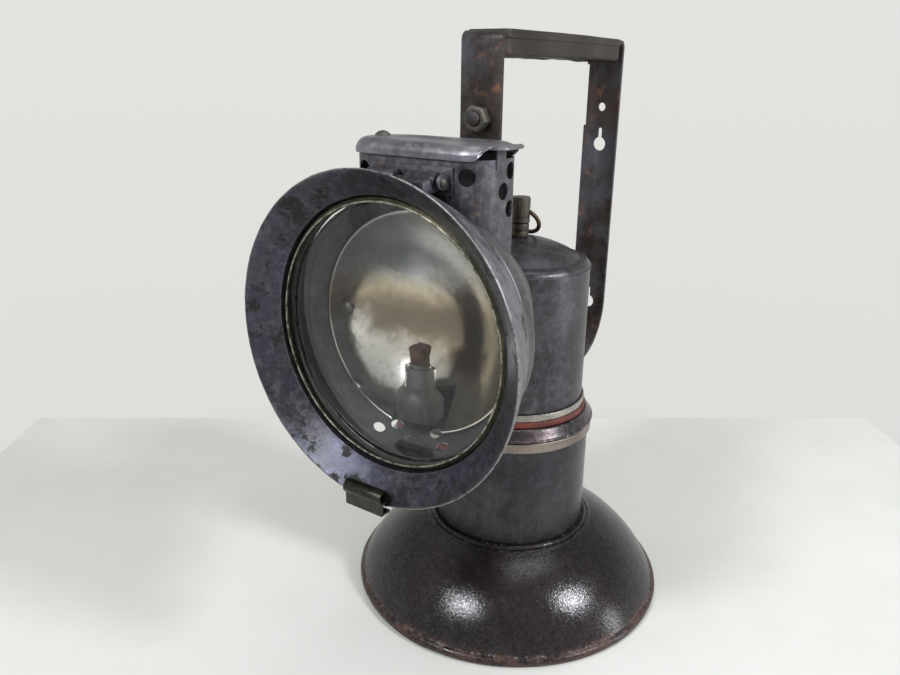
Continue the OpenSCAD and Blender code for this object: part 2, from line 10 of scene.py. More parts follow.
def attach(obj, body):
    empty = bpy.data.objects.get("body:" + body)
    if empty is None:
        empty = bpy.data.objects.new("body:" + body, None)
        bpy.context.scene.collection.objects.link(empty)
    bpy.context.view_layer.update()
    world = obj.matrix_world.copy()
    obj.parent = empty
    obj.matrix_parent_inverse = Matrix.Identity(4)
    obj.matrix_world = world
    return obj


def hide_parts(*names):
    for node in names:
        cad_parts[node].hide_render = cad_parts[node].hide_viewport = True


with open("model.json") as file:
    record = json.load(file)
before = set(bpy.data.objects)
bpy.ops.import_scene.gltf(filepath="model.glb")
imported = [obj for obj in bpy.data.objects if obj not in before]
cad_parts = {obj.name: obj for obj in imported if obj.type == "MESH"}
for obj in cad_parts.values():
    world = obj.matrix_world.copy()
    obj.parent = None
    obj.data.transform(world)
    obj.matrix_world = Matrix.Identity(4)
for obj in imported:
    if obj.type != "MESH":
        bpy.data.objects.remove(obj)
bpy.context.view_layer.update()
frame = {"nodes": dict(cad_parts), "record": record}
NODES = frame["nodes"]
BODY_OF = {n: b for b, ns in frame["record"]["behaviour"]["bodies"].items() for n in ns}
SLOT_OF = {s["node"]: s["material_slot"] for s in frame["record"]["subparts"]}
TAU = 2 * math.pi

# The lamp's sizes and places are in millimetres, as in the CAD source. Meshes are written in metres.
MM = 0.001
SHEET = 0.9             # foot, container, lid and grip
THIN = 0.8              # tank and head
FOOT_R = 82.45
RIM_AT = (80.0, 2.3)    # middle of the rim's wire: radius and height
RIM_ROLL_R = 2.5
RIM_WIRE_R = 1.2
CONTAINER_R = 40.0
CONTAINER_BOTTOM, CONTAINER_TOP = 10.0, 97.0
BAND_BOTTOM, BAND_TOP = 91.4, 96.6
COLLAR_TOP = 103.0
COLLAR_BORE = 36.5
GASKET_TOP = 106.2
TANK_R = 35.6
TANK_SEAM = 177.0       # where the dome meets the wall
DOME_TOP = 190.0
DOME_SPHERE = 54.93
HEAD_Z = 166.0          # height of the head's axis, which runs along -Y
DRUM_R = 53.5
DRUM_BACK, DRUM_FRONT = 80.5, 95.6
CONE_END = 39.0
DISH_R = 46.0
DISH_SPHERE = 54.8
DISH_CENTRE = 100.78    # how far in front of the tank's axis the reflector's sphere has its centre
DISH_SHEET = 0.7
BURNER_Y = -67.0
PIPE_Z = 134.0
SCREW_X = 38.0          # the reflector's two screws, on the head's axis
DOOR_R = 67.4
DOOR_FRONT = 117.2
SKIRT_R = 57.0          # the door's back edge
SKIRT_BACK = 92.0
LENS_R = 56.1
LENS_FRONT = 105.9
LENS_SPHERE = 418.0
LENS_GLASS = 2.2
BOX_Y = -72.0
BOX_HALF = (33.0, 15.0)
BOX_CORNER = 12.0
LID_TOP = 240.2
LID_ROLL = 4.4          # radius of the lid's rolled edge
LID_OVER = 1.25         # how far the lid stands out past the box
GRIP_START, GRIP_END = -34.7, 85.3
GRIP_HALF = 10.8
TOP = 283.0

# ---- camera and light ----------------------------------------------------------------------------

IMAGE_WIDTH = 900                               # pixels
FOCAL = 763.13                                  # pixels
SENSOR = 36.0                                   # millimetres
CAMERA_AT = (0.180362, -0.325275, 0.265873)     # metres
AZIMUTH, PITCH, ROLL = (math.radians(a) for a in (34.168, 19.251, 0.683))

scene = bpy.context.scene
scene.view_settings.view_transform = "Standard"
scene.view_settings.look = "None"


def make_camera():
    """Stands at the photograph's viewing angle."""
    sin, cos = math.sin(AZIMUTH), math.cos(AZIMUTH)
    forward = Vector((-sin * math.cos(PITCH), cos * math.cos(PITCH), -math.sin(PITCH)))
    level = Vector((cos, sin, 0))
    upright = level.cross(forward)
    right = level * math.cos(ROLL) + upright * math.sin(ROLL)
    up = upright * math.cos(ROLL) - level * math.sin(ROLL)
    data = bpy.data.cameras.new("Camera")
    data.sensor_width = SENSOR
    data.lens = FOCAL / IMAGE_WIDTH * SENSOR
    data.clip_start, data.clip_end = 0.01, 50
    camera = bpy.data.objects.new("Camera", data)
    scene.collection.objects.link(camera)
    camera.matrix_world = Matrix([*zip(right, up, -forward, CAMERA_AT), (0, 0, 0, 1)])
    return camera


def make_world():
    """Pale surroundings, brightest round the horizon. The stops go from straight down to straight up."""
    stops = ((0.0, 0.28), (0.2, 0.5), (0.3, 0.73), (0.54, 0.77), (0.7, 0.52), (1.0, 0.38))
    world = bpy.data.worlds.new("World")
    scene.world = world
    world.use_nodes = True
    nodes, links = world.node_tree.nodes, world.node_tree.links
    ramp = nodes.new("ShaderNodeValToRGB")
    for place, _ in stops[1:-1]:
        ramp.color_ramp.elements.new(place)
    for element, (place, value) in zip(ramp.color_ramp.elements, stops):
        element.position = place
        element.color = (value, value, value * 0.965, 1)
    split = nodes.new("ShaderNodeSeparateXYZ")
    half = nodes.new("ShaderNodeMath")
    half.operation = "MULTIPLY_ADD"
    half.inputs[1].default_value = 0.5
    half.inputs[2].default_value = 0.5
    links.new(nodes.new("ShaderNodeTexCoord").outputs["Generated"], split.inputs[0])
    links.new(split.outputs["Z"], half.inputs[0])
    links.new(half.outputs[0], ramp.inputs[0])
    links.new(ramp.outputs[0], nodes["Background"].inputs[0])
    nodes["Background"].inputs[1].default_value = 1.0


def softbox(name, place, target, size, power, color=(1, 1, 1)):
    """A soft rectangular light. Place, target and size are in metres, power in watts."""
    data = bpy.data.lights.new(name, "AREA")
    data.shape = "RECTANGLE"
    data.size, data.size_y = size
    data.energy = power
    data.color = color
    light = bpy.data.objects.new(name, data)
    scene.collection.objects.link(light)
    light.location = place
    light.rotation_mode = "QUATERNION"
    light.rotation_quaternion = (Vector(target) - Vector(place)).to_track_quat("-Z", "Y")


bpy.context.scene.camera = make_camera()
make_world()
softbox("Overhead", (0.1, 0.15, 1.25), (0.0, 0, 0.1), (0.6, 0.6), 3.2)
softbox("Right", (0.86, 0.05, 0.72), (0.03, 0, 0.08), (0.13, 0.16), 8.0, (0.95, 0.97, 1.0))
softbox("LowRight", (0.95, 0.33, 0.10), (0.03, 0, 0.12), (0.10, 0.34), 1.6, (0.97, 0.98, 1.0))
softbox("Front", (-0.12, -0.86, 0.80), (0.02, -0.03, 0.08), (0.16, 0.13), 7.0, (0.95, 0.97, 1.0))

# ---- mesh helpers --------------------------------------------------------------------------------

NOTHING = 1e-6                      # millimetres: shorter counts as zero
MERGE = 2e-7                        # metres: points closer than this are one
STRAIGHT = math.radians(84)         # half of a corner's angle: flatter corners stay as they are
LONGEST_CUT = 0.45                  # share of a side that a rounded corner may take
FULL_EDGE = 30                      # degrees: a bend from here on is a full edge


def hash3(a):
    """Scattered values from -1 to 1 at whole-number points. The large numbers only mix the bits."""
    a = a.astype(np.int64)
    n = (a[:, 0] * 73856093) ^ (a[:, 1] * 19349663) ^ (a[:, 2] * 83492791)
    n = (n ^ (n >> 13)) * 1274126177 & 0x7FFFFFFF
    n = (n ^ (n >> 15)) * 1911520717 & 0x7FFFFFFF
    return ((n ^ (n >> 11)) & 0xFFFF) / 32767.5 - 1.0


def noise3(p, size, seed=0):
    """Smooth noise from -1 to 1 at points p, with features of the given size."""
    q = p / size + seed * 17.31
    i = np.floor(q)
    f = q - i
    f = f * f * (3 - 2 * f)
    out = 0
    for dx in (0, 1):
        for dy in (0, 1):
            for dz in (0, 1):
                x, y, z = (f[:, k] if near else 1 - f[:, k] for k, near in enumerate((dx, dy, dz)))
                out = out + x * y * z * hash3(i + np.array((dx, dy, dz)))
    return out


def step(x, lo, hi):
    """Eases from 0 at lo to 1 at hi."""
    t = np.clip((x - lo) / (hi - lo), 0, 1)
    return t * t * (3 - 2 * t)


def coords(me):
    """A mesh's points in millimetres."""
    co = np.zeros(len(me.vertices) * 3)
    me.vertices.foreach_get("co", co)
    return co.reshape(-1, 3) / MM


def normals(me):
    n = np.zeros(len(me.vertices) * 3)
    me.vertices.foreach_get("normal", n)
    return n.reshape(-1, 3)


def set_coords(me, p):
    me.vertices.foreach_set("co", (p * MM).ravel())
    me.update()


def attribute(o, name, values):
    """Stores one number for each point, for the materials to read."""
    a = o.data.attributes.get(name) or o.data.attributes.new(name, "FLOAT", "POINT")
    a.data.foreach_set("value", np.asarray(values, np.float32))


def build(name, verts, faces, angle=32):
    """A mesh object from points in millimetres."""
    me = bpy.data.meshes.new(name)
    me.from_pydata([tuple(c * MM for c in v) for v in verts], [], faces)
    me.validate()
    o = bpy.data.objects.new(name, me)
    scene.collection.objects.link(o)
    finish_mesh(o, angle)
    return o


def finish_mesh(o, angle=32):
    """Merges double points, turns the faces outwards and shades smooth up to the angle in degrees."""
    bm = bmesh.new()
    bm.from_mesh(o.data)
    bmesh.ops.remove_doubles(bm, verts=bm.verts, dist=MERGE)
    bmesh.ops.recalc_face_normals(bm, faces=bm.faces)
    bm.to_mesh(o.data)
    bm.free()
    o.data.shade_smooth()
    o.data.set_sharp_from_angle(angle=math.radians(angle))
    return o


def settle(o, node):
    """The piece rides on its CAD node's body, stands for the node and takes its material."""
    slot = SLOT_OF[node]
    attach(o, BODY_OF[node])
    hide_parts(node)
    o.data.materials.clear()
    o.data.materials.append(MATERIALS[slot])


def fillet(points, radius, steps):
    """Rounds each corner of a closed outline. A point may carry its own radius as a third number."""
    out = []
    n = len(points)
    for i, point in enumerate(points):
        p = np.array(point[:2], float)
        wanted = point[2] if len(point) > 2 else radius
        a = np.array(points[i - 1][:2], float) - p
        b = np.array(points[(i + 1) % n][:2], float) - p
        length_a, length_b = np.hypot(*a), np.hypot(*b)
        if wanted <= 0 or length_a < NOTHING or length_b < NOTHING or p[0] < NOTHING:
            out.append(tuple(p))
            continue
        a, b = a / length_a, b / length_b
        half = math.acos(float(np.clip(a @ b, -1, 1))) / 2
        if half > STRAIGHT:
            out.append(tuple(p))
            continue
        back = min(wanted / math.tan(half), LONGEST_CUT * length_a, LONGEST_CUT * length_b)
        r = back * math.tan(half)
        centre = p + (a + b) / np.hypot(*(a + b)) * r / math.sin(half)
        start, end = p + a * back - centre, p + b * back - centre
        start, end = math.atan2(start[1], start[0]), math.atan2(end[1], end[0])
        turn = (end - start + math.pi) % TAU - math.pi
        for j in range(steps + 1):
            angle = start + turn * j / steps
            out.append((centre[0] + r * math.cos(angle), centre[1] + r * math.sin(angle)))
    return out


def dense(points, gap):
    """Adds points along a closed outline so that none are further apart than gap."""
    out = []
    for i, p in enumerate(points):
        q = points[(i + 1) % len(points)]
        on_axis = p[0] < NOTHING and q[0] < NOTHING
        n = 1 if on_axis else max(1, math.ceil(math.hypot(q[0] - p[0], q[1] - p[1]) / gap))
        out += [(p[0] + (q[0] - p[0]) * j / n, p[1] + (q[1] - p[1]) * j / n) for j in range(n)]
    return out


def lathe(name, outline, seg=128, head=False, r=0.3, steps=3, gap=3.0, angle=32):
    """Turns a closed outline of [radius, height] or, on the head, [radius, distance in front].

    r rounds the corners, gap is the longest side that is left, and angle is where shading breaks.
    The attribute "edge" says how sharply the outline bends, for chipped edges.
    """
    points = dense(fillet(outline, r, steps), gap)
    verts, rings = [], []
    for radius, h in points:
        if radius < NOTHING:
            rings.append([len(verts)] * seg)
            verts.append((0, -h, HEAD_Z) if head else (0, 0, h))
            continue
        rings.append(list(range(len(verts), len(verts) + seg)))
        for j in range(seg):
            c, s = radius * math.cos(TAU * j / seg), radius * math.sin(TAU * j / seg)
            verts.append((c, -h, HEAD_Z + s) if head else (c, s, h))
    faces = []
    for i in range(len(rings)):
        a, b = rings[i], rings[(i + 1) % len(rings)]
        if a[0] == a[1] and b[0] == b[1]:
            continue
        for j in range(seg):
            f = [a[j], a[(j + 1) % seg], b[(j + 1) % seg], b[j]]
            f = [v for n, v in enumerate(f) if v != f[n - 1]]
            if len(set(f)) >= 3:
                faces.append(f)
    o = build(name, verts, faces, angle)
    if len(o.data.vertices) == len(verts):
        turns = []
        for i, p in enumerate(points):
            a, b = np.subtract(p, points[i - 1]), np.subtract(points[(i + 1) % len(points)], p)
            bend = abs(math.degrees(math.atan2(a[0] * b[1] - a[1] * b[0], float(a @ b))))
            turns += [min(1.0, bend / FULL_EDGE)] * (1 if p[0] < NOTHING else seg)
        attribute(o, "edge", turns)
    return o


def strips(n, levels):
    """The faces between stacked rings of n points each."""
    return [[i * n + j, i * n + (j + 1) % n, (i + 1) * n + (j + 1) % n, (i + 1) * n + j]
            for i in range(levels - 1) for j in range(n)]


def caps(n, levels):
    """The two end faces of such a stack."""
    return [list(range(n))[::-1], list(range((levels - 1) * n, levels * n))]


def push(o, amount):
    """Moves each point along its normal by amount(points, normals) millimetres."""
    p, n = coords(o.data), normals(o.data)
    set_coords(o.data, p + n * np.asarray(amount(p, n)).reshape(-1, 1))
    return o


def bar(a, b, r, seg=24):
    """A plain round cutter between two points, never shown."""
    a, b = Vector(a), Vector(b)
    q = (b - a).to_track_quat("Z", "Y")
    verts = [q @ Vector((r * math.cos(TAU * j / seg), r * math.sin(TAU * j / seg), z)) + a
             for z in (0, (b - a).length) for j in range(seg)]
    return build("cutter", verts, strips(seg, 2) + caps(seg, 2))


def block(a, b):
    """A box cutter between two opposite corners."""
    v = [(x, y, z) for z in (a[2], b[2]) for y in (a[1], b[1]) for x in (a[0], b[0])]
    f = [(0, 1, 3, 2), (4, 6, 7, 5), (0, 4, 5, 1), (2, 3, 7, 6), (0, 2, 6, 4), (1, 5, 7, 3)]
    return build("cutter", v, f)


def cut(o, *tools, angle=32):
    """Cuts the tools out of the piece and removes them."""
    for tool in tools:
        m = o.modifiers.new("cut", "BOOLEAN")
        m.operation = "DIFFERENCE"
        m.solver = "MANIFOLD"
        m.object = tool
    apply_all(o)
    for tool in tools:
        drop(tool)
    return finish_mesh(o, angle)


def drop(o):
    me = o.data
    bpy.data.objects.remove(o)
    bpy.data.meshes.remove(me)


def apply_all(o):
    """Turns the modifiers' result into the object's own mesh."""
    graph = bpy.context.evaluated_depsgraph_get()
    shaped = o.evaluated_get(graph)
    me = bpy.data.meshes.new_from_object(shaped, preserve_all_data_layers=True, depsgraph=graph)
    o.modifiers.clear()
    old = o.data
    o.data = me
    bpy.data.meshes.remove(old)
    return o


def bevel(o, width, angle):
    """Rounds the edges that bend by more than the angle in degrees. The width is in millimetres."""
    m = o.modifiers.new("bevel", "BEVEL")
    m.width = width * MM
    m.segments = 2
    m.limit_method = "ANGLE"
    m.angle_limit = math.radians(angle)
    return apply_all(o)


def soften(node, width, name):
    """A copy of a CAD node with its edges rounded, as real metal has."""
    me = NODES[node].data.copy()
    o = bpy.data.objects.new(name, me)
    scene.collection.objects.link(o)
    bm = bmesh.new()
    bm.from_mesh(me)
    bmesh.ops.remove_doubles(bm, verts=bm.verts, dist=1e-6)
    bmesh.ops.dissolve_limit(bm, angle_limit=math.radians(0.8), verts=bm.verts, edges=bm.edges)
    bmesh.ops.recalc_face_normals(bm, faces=bm.faces)
    for f in bm.faces:
        f.smooth = True
    bm.to_mesh(me)
    bm.free()
    for a in list(me.attributes):
        if a.name.startswith("custom_normal"):
            me.attributes.remove(a)
    return finish_mesh(bevel(o, width, 28), 40)


# ---- materials -----------------------------------------------------------------------------------

MATERIALS = {}


class Mat:
    """A small helper to write node materials. Sizes are in millimetres on the object."""

    def __init__(self, name, rough=0.45, metallic=0.7, **sockets):
        m = bpy.data.materials.new(name)
        m.use_nodes = True
        self.material, self.tree = m, m.node_tree
        self.bsdf = self.tree.nodes["Principled BSDF"]
        self.point = self.tree.nodes.new("ShaderNodeTexCoord").outputs["Object"]
        self.bsdf.inputs["Roughness"].default_value = rough
        self.bsdf.inputs["Metallic"].default_value = metallic
        for k, v in sockets.items():
            self.bsdf.inputs[k.replace("_", " ")].default_value = v
        MATERIALS[name] = m

    def node(self, kind, **props):
        n = self.tree.nodes.new("ShaderNode" + kind)
        for k, v in props.items():
            setattr(n, k, v)
        return n

    def put(self, socket, value):
        """Sets a socket to a link, a number or a colour."""
        if isinstance(value, bpy.types.NodeSocket):
            self.tree.links.new(value, socket)
        elif hasattr(socket.default_value, "__len__") and not hasattr(value, "__len__"):
            socket.default_value = (value, value, value, 1)[:len(socket.default_value)]
        elif hasattr(value, "__len__") and len(value) == 3 and len(socket.default_value) == 4:
            socket.default_value = (*value, 1)
        else:
            socket.default_value = value

    def stretch(self, x=1, y=1, z=1):
        n = self.node("Mapping")
        self.put(n.inputs["Vector"], self.point)
        n.inputs["Scale"].default_value = (x, y, z)
        return n.outputs[0]

    def noise(self, size, detail=4, rough=0.55, point=None, seed=0):
        n = self.node("TexNoise", noise_dimensions="4D")
        self.put(n.inputs["Vector"], point or self.point)
        n.inputs["W"].default_value = seed * 3.7
        n.inputs["Scale"].default_value = 1000 / size
        n.inputs["Detail"].default_value = detail
        n.inputs["Roughness"].default_value = rough
        return n.outputs["Fac"]

    def math(self, op, a, b=0.5, c=None):
        n = self.node("Math", operation=op)
        self.put(n.inputs[0], a)
        self.put(n.inputs[1], b)
        if c is not None:
            self.put(n.inputs[2], c)
        return n.outputs[0]

    def range(self, v, lo, hi, out0=0.0, out1=1.0):
        """Eases from out0 at lo to out1 at hi."""
        n = self.node("MapRange", interpolation_type="SMOOTHSTEP")
        self.put(n.inputs[0], v)
        for i, x in enumerate((lo, hi, out0, out1)):
            n.inputs[i + 1].default_value = x
        return n.outputs[0]

    def mix(self, fac, a, b):
        n = self.node("Mix", data_type="RGBA")
        self.put(n.inputs[0], fac)
        self.put(n.inputs[6], a)
        self.put(n.inputs[7], b)
        return n.outputs[2]

    def attr(self, name):
        return self.node("Attribute", attribute_name=name).outputs["Fac"]

    def axis(self, i):
        n = self.node("SeparateXYZ")
        self.put(n.inputs[0], self.point)
        return n.outputs[i]

    def color(self, value):
        self.put(self.bsdf.inputs["Base Color"], value)

    def rough(self, value):
        self.put(self.bsdf.inputs["Roughness"], value)

    def metal(self, value):
        self.put(self.bsdf.inputs["Metallic"], value)

    def bump(self, *layers):
        """Each layer is (height, depth in millimetres)."""
        normal = None
        for height, depth in layers:
            n = self.node("Bump")
            n.inputs["Strength"].default_value = 1.0
            n.inputs["Distance"].default_value = depth * MM
            self.put(n.inputs["Height"], height)
            if normal is not None:
                self.put(n.inputs["Normal"], normal)
            normal = n.outputs[0]
        self.put(self.bsdf.inputs["Normal"], normal)


def shade(color, factor):
    return tuple(min(1, x * factor) for x in color)


def worn_metal(name, dark, mid, light, rough=(0.35, 0.6), metallic=0.75, grain=0.9, patch=16, mott=0.35,
               rust=0.0, rust_color=(0.16, 0.06, 0.03), blot=0.0, blot_color=(0.02, 0.02, 0.02), blot_size=7,
               chips=0.0, chip_color=(0.45, 0.43, 0.40), scratches=0.12, speck=0.3, tint=None, bump=0.03,
               rim=None, grit=0.0, seed=0):
    """Tarnished sheet metal. grain, patch and blot_size are sizes in millimetres.

    Broad patches go from dark to mid or to tint, clouds in them go to light as far as mott says, with
    fine speckle and faint upright scratches. Blots and rust lie on top. The edges marked by the
    attribute "edge" are chipped, the attribute "rim" brings in the rim colour, and grit makes the
    gloss granular.
    """
    m = Mat(name, metallic=metallic)

    def noise(size, detail, roughness, offset, **more):
        return m.noise(size, detail, roughness, seed=seed + offset, **more)

    def times(value, factor):
        return m.math("MULTIPLY", value, factor)

    broad = noise(patch * 2.2, 3, 0.5, 0)
    cloud = noise(patch * 0.25, 8, 0.72, 1)
    fine = noise(grain, 6, 0.75, 2)
    color = m.mix(m.range(broad, 0.36, 0.66), dark, mid)
    if tint:
        color = m.mix(m.range(noise(patch * 1.4, 4, 0.6, 5), 0.44, 0.62), color, tint)
    color = m.mix(times(m.range(cloud, 0.42, 0.72), mott), color, light)
    gloss = m.range(cloud, 0.3, 0.7, rough[0], rough[1])
    if blot > 0:
        blots = m.range(noise(blot_size, 9, 0.72, 6), 0.66 - 0.2 * blot, 0.70 - 0.18 * blot)
        blots = times(blots, min(1.0, 0.5 + blot))
        color = m.mix(blots, color, blot_color)
        gloss = m.math("MAXIMUM", gloss, times(blots, 0.62))
    color = m.mix(times(m.range(fine, 0.5, 0.68), speck), color, shade(dark, 0.3))
    specks = m.range(noise(grain * 0.7, 3, 0.5, 3), 0.66, 0.76)
    color = m.mix(times(specks, speck), color, shade(light, 1.8))
    if scratches:
        lines = m.range(noise(2.2, 2, 0.5, 4, point=m.stretch(1, 1, 0.1)), 0.6, 0.68)
        color = m.mix(times(lines, scratches), color, light)
    if rust > 0:
        spots = m.range(noise(patch * 0.6, 9, 0.72, 7), 0.62 - 0.12 * rust, 0.72 - 0.1 * rust)
        spots = times(spots, min(1.0, rust * 1.5))
        color = m.mix(spots, color, m.mix(noise(1.2, 5, 0.75, 8), rust_color, shade(rust_color, 2.1)))
        gloss = m.math("MAXIMUM", gloss, times(spots, 0.8))
        m.metal(times(m.math("SUBTRACT", 1.0, times(spots, 0.85)), metallic))
    if rim:
        worn = times(m.attr("rim"), m.range(noise(9, 7, 0.7, 12), 0.38, 0.6))
        color = m.mix(worn, color, m.mix(noise(1.4, 5, 0.75, 13), shade(rim, 0.6), shade(rim, 1.5)))
        gloss = m.math("MAXIMUM", gloss, times(worn, 0.7))
    if chips > 0:
        broken = m.range(noise(2.2, 7, 0.75, 11), 0.62 - 0.3 * chips, 0.7 - 0.3 * chips)
        color = m.mix(times(m.range(m.attr("edge"), 0.1, 0.7), broken), color, chip_color)
    m.color(color)
    m.rough(gloss)
    layers = [(m.math("ADD", times(fine, 0.6), times(cloud, 0.8)), bump * 3)]
    layers.append((noise(0.45, 3, 0.6, 9), bump * 0.7))
    if grit:
        grains = noise(1.15, 3, 0.6, 20)
        m.put(m.bsdf.inputs["Specular IOR Level"], m.range(grains, 0.3, 0.7, 0.3 * grit, grit))
        layers.append((grains, 0.10))
    m.bump(*layers)


def foot_and_container_metals():
    worn_metal("foot_iron", (0.007, 0.005, 0.006), (0.015, 0.011, 0.014), (0.036, 0.029, 0.037), seed=1,
               rough=(0.15, 0.22), metallic=0.1, grain=0.9, patch=18, speck=0.4, bump=0.025, mott=0.4,
               rust=0.12, rust_color=(0.05, 0.026, 0.02), scratches=0, chips=0.35,
               chip_color=(0.3, 0.28, 0.27), rim=(0.062, 0.032, 0.024), grit=0.6)
    worn_metal("rim_wire", (0.05, 0.035, 0.03), (0.08, 0.05, 0.04), (0.12, 0.08, 0.06), seed=2)
    worn_metal("container_steel", (0.019, 0.018, 0.021), (0.042, 0.040, 0.046), (0.13, 0.128, 0.155), seed=3,
               rough=(0.2, 0.3), metallic=0.75, grain=1.0, patch=20, mott=0.28, speck=0.55,
               tint=(0.045, 0.044, 0.046), bump=0.04)
    worn_metal("band_brass", (0.145, 0.12, 0.105), (0.26, 0.22, 0.19), (0.41, 0.36, 0.315), seed=4, patch=8,
               rough=(0.3, 0.5), blot=0.25, blot_color=(0.06, 0.045, 0.035))
    worn_metal("collar_plate", (0.03, 0.027, 0.03), (0.052, 0.047, 0.053), (0.18, 0.165, 0.19), seed=5,
               rough=(0.2, 0.36), patch=9, mott=0.35, tint=(0.085, 0.066, 0.066), chips=0.4)


def tank_metals():
    worn_metal("gasket_rubber", (0.06, 0.012, 0.009), (0.155, 0.026, 0.018), (0.27, 0.05, 0.032), seed=6,
               rough=(0.55, 0.75), metallic=0.0, grain=0.8, patch=6, speck=0.6, bump=0.08, scratches=0,
               blot=0.3, blot_size=2.6)
    worn_metal("ring_plate", (0.22, 0.205, 0.19), (0.38, 0.35, 0.32), (0.58, 0.54, 0.49), seed=7,
               rough=(0.22, 0.4), patch=8, blot=0.15, blot_size=4)
    worn_metal("tank_steel", (0.038, 0.035, 0.041), (0.072, 0.067, 0.075), (0.165, 0.155, 0.175), seed=8,
               rough=(0.3, 0.46), metallic=0.7, grain=1.1, patch=18, mott=0.5, speck=0.55)
    worn_metal("valve_brass", (0.045, 0.037, 0.030), (0.08, 0.066, 0.055), (0.17, 0.145, 0.12), seed=9,
               patch=5, rough=(0.34, 0.55))
    worn_metal("inner_brass", (0.2, 0.15, 0.07), (0.32, 0.25, 0.13), (0.45, 0.36, 0.2), seed=10, patch=6)
    worn_metal("pull_wire", (0.05, 0.034, 0.022), (0.11, 0.075, 0.045), (0.2, 0.14, 0.09), seed=11, patch=4)


def head_metals():
    worn_metal("burner_metal", (0.05, 0.05, 0.049), (0.095, 0.095, 0.092), (0.17, 0.17, 0.163), seed=12,
               rough=(0.4, 0.6), metallic=0.6, patch=7)
    worn_metal("burner_stone", (0.03, 0.015, 0.011), (0.085, 0.042, 0.03), (0.17, 0.10, 0.07), seed=13,
               rough=(0.6, 0.8), metallic=0.0, patch=4)
    worn_metal("head_steel", (0.075, 0.075, 0.08), (0.13, 0.13, 0.138), (0.24, 0.24, 0.25), seed=14,
               rough=(0.32, 0.5), patch=15, rust=0.2, blot=0.15)
    worn_metal("small_steel", (0.06, 0.055, 0.045), (0.11, 0.105, 0.085), (0.22, 0.21, 0.175), seed=15,
               patch=4, rust=0.3)
    worn_metal("chimney_steel", (0.055, 0.055, 0.065), (0.10, 0.10, 0.115), (0.25, 0.245, 0.26), seed=16,
               rough=(0.34, 0.55), patch=12, rust=0.3, rust_color=(0.15, 0.095, 0.075), blot=0.12, mott=0.45)
    worn_metal("lid_steel", (0.10, 0.098, 0.115), (0.205, 0.203, 0.23), (0.36, 0.355, 0.395), seed=17,
               rough=(0.3, 0.46), mott=0.45, patch=12, speck=0.12, blot=0.08, blot_color=(0.1, 0.09, 0.08))


def door_metals():
    worn_metal("door_steel", (0.034, 0.035, 0.043), (0.064, 0.064, 0.078), (0.155, 0.15, 0.168), seed=18,
               rough=(0.3, 0.46), mott=0.6, patch=15, tint=(0.048, 0.049, 0.075), blot=0.7,
               blot_color=(0.030, 0.031, 0.031), blot_size=9, chips=0.7, chip_color=(0.27, 0.26, 0.26),
               rim=(0.21, 0.20, 0.22))
    worn_metal("door_ring", (0.05, 0.047, 0.032), (0.105, 0.098, 0.067), (0.2, 0.19, 0.13), seed=19,
               patch=6, rough=(0.3, 0.5), chips=0.6, chip_color=(0.42, 0.41, 0.33))
    worn_metal("seal_felt", (0.05, 0.05, 0.045), (0.08, 0.08, 0.07), (0.12, 0.12, 0.1), seed=20,
               rough=(0.8, 0.95), metallic=0.0, scratches=0)
    worn_metal("catch_steel", (0.018, 0.018, 0.013), (0.035, 0.035, 0.026), (0.075, 0.073, 0.055), seed=21,
               rough=(0.26, 0.42), patch=5)


def handle_metals():
    worn_metal("strap_iron", (0.026, 0.018, 0.016), (0.055, 0.038, 0.032), (0.12, 0.10, 0.10), seed=22,
               rough=(0.36, 0.6), metallic=0.6, patch=18, rust=0.55, rust_color=(0.12, 0.05, 0.024),
               tint=(0.06, 0.064, 0.076), chips=0.3, chip_color=(0.2, 0.12, 0.08))
    worn_metal("grip_sheet", (0.024, 0.018, 0.016), (0.05, 0.04, 0.035), (0.115, 0.096, 0.084), seed=23,
               rough=(0.34, 0.52), patch=14, rust=0.25, rust_color=(0.09, 0.05, 0.035))


def reflector_silver():
    """Silver gone golden brown in the middle, with a darker band across it and lighter along the lower edge.
    The top is a painted reflection of bright surroundings: bluish grey, going to white towards the right."""
    m = Mat("reflector_silver", rough=0.14, metallic=1.0)
    broad = m.noise(30, 4, 0.55, seed=30)
    fine = m.noise(3.0, 6, 0.7, seed=31)
    ripple = m.math("MULTIPLY_ADD", m.noise(14, 4, 0.6, seed=33), 0.02, -0.01)
    height = m.math("ADD", m.math("SUBTRACT", m.axis(2), HEAD_Z * MM), ripple)
    side = m.math("ADD", m.axis(0), ripple)
    color = m.mix(m.range(broad, 0.35, 0.65), (0.36, 0.29, 0.19), (0.52, 0.45, 0.34))
    # painted reflection: the top of the dish is coloured bluish grey going to white at the right, standing in
    # for the bright surroundings it reflects
    painted_reflection_top = m.range(height, 0.006, 0.024)
    color = m.mix(painted_reflection_top, color, m.mix(m.range(side, -0.016, 0.010), (0.34, 0.355, 0.385), (1.0, 1.0, 1.0)))
    band = m.range(m.math("ABSOLUTE", m.math("ADD", height, 0.003)), 0.013, 0.002)
    color = m.mix(m.math("MULTIPLY", band, 0.8), color, (0.14, 0.11, 0.08))
    lower = m.range(m.math("ADD", height, m.math("MULTIPLY", side, 0.35)), -0.010, -0.026)
    color = m.mix(lower, color, (0.80, 0.78, 0.74))
    color = m.mix(m.math("MULTIPLY", m.range(side, 0.012, 0.034), 0.6), color, (0.62, 0.56, 0.44))
    color = m.mix(m.math("MULTIPLY", m.range(fine, 0.5, 0.75), 0.45), color, (0.16, 0.125, 0.08))
    m.color(color)
    m.rough(m.math("MULTIPLY_ADD", painted_reflection_top, 0.2, m.range(broad, 0.3, 0.7, 0.2, 0.1)))
    m.bump((m.noise(18, 3, 0.5, seed=32), 0.3), (fine, 0.008))


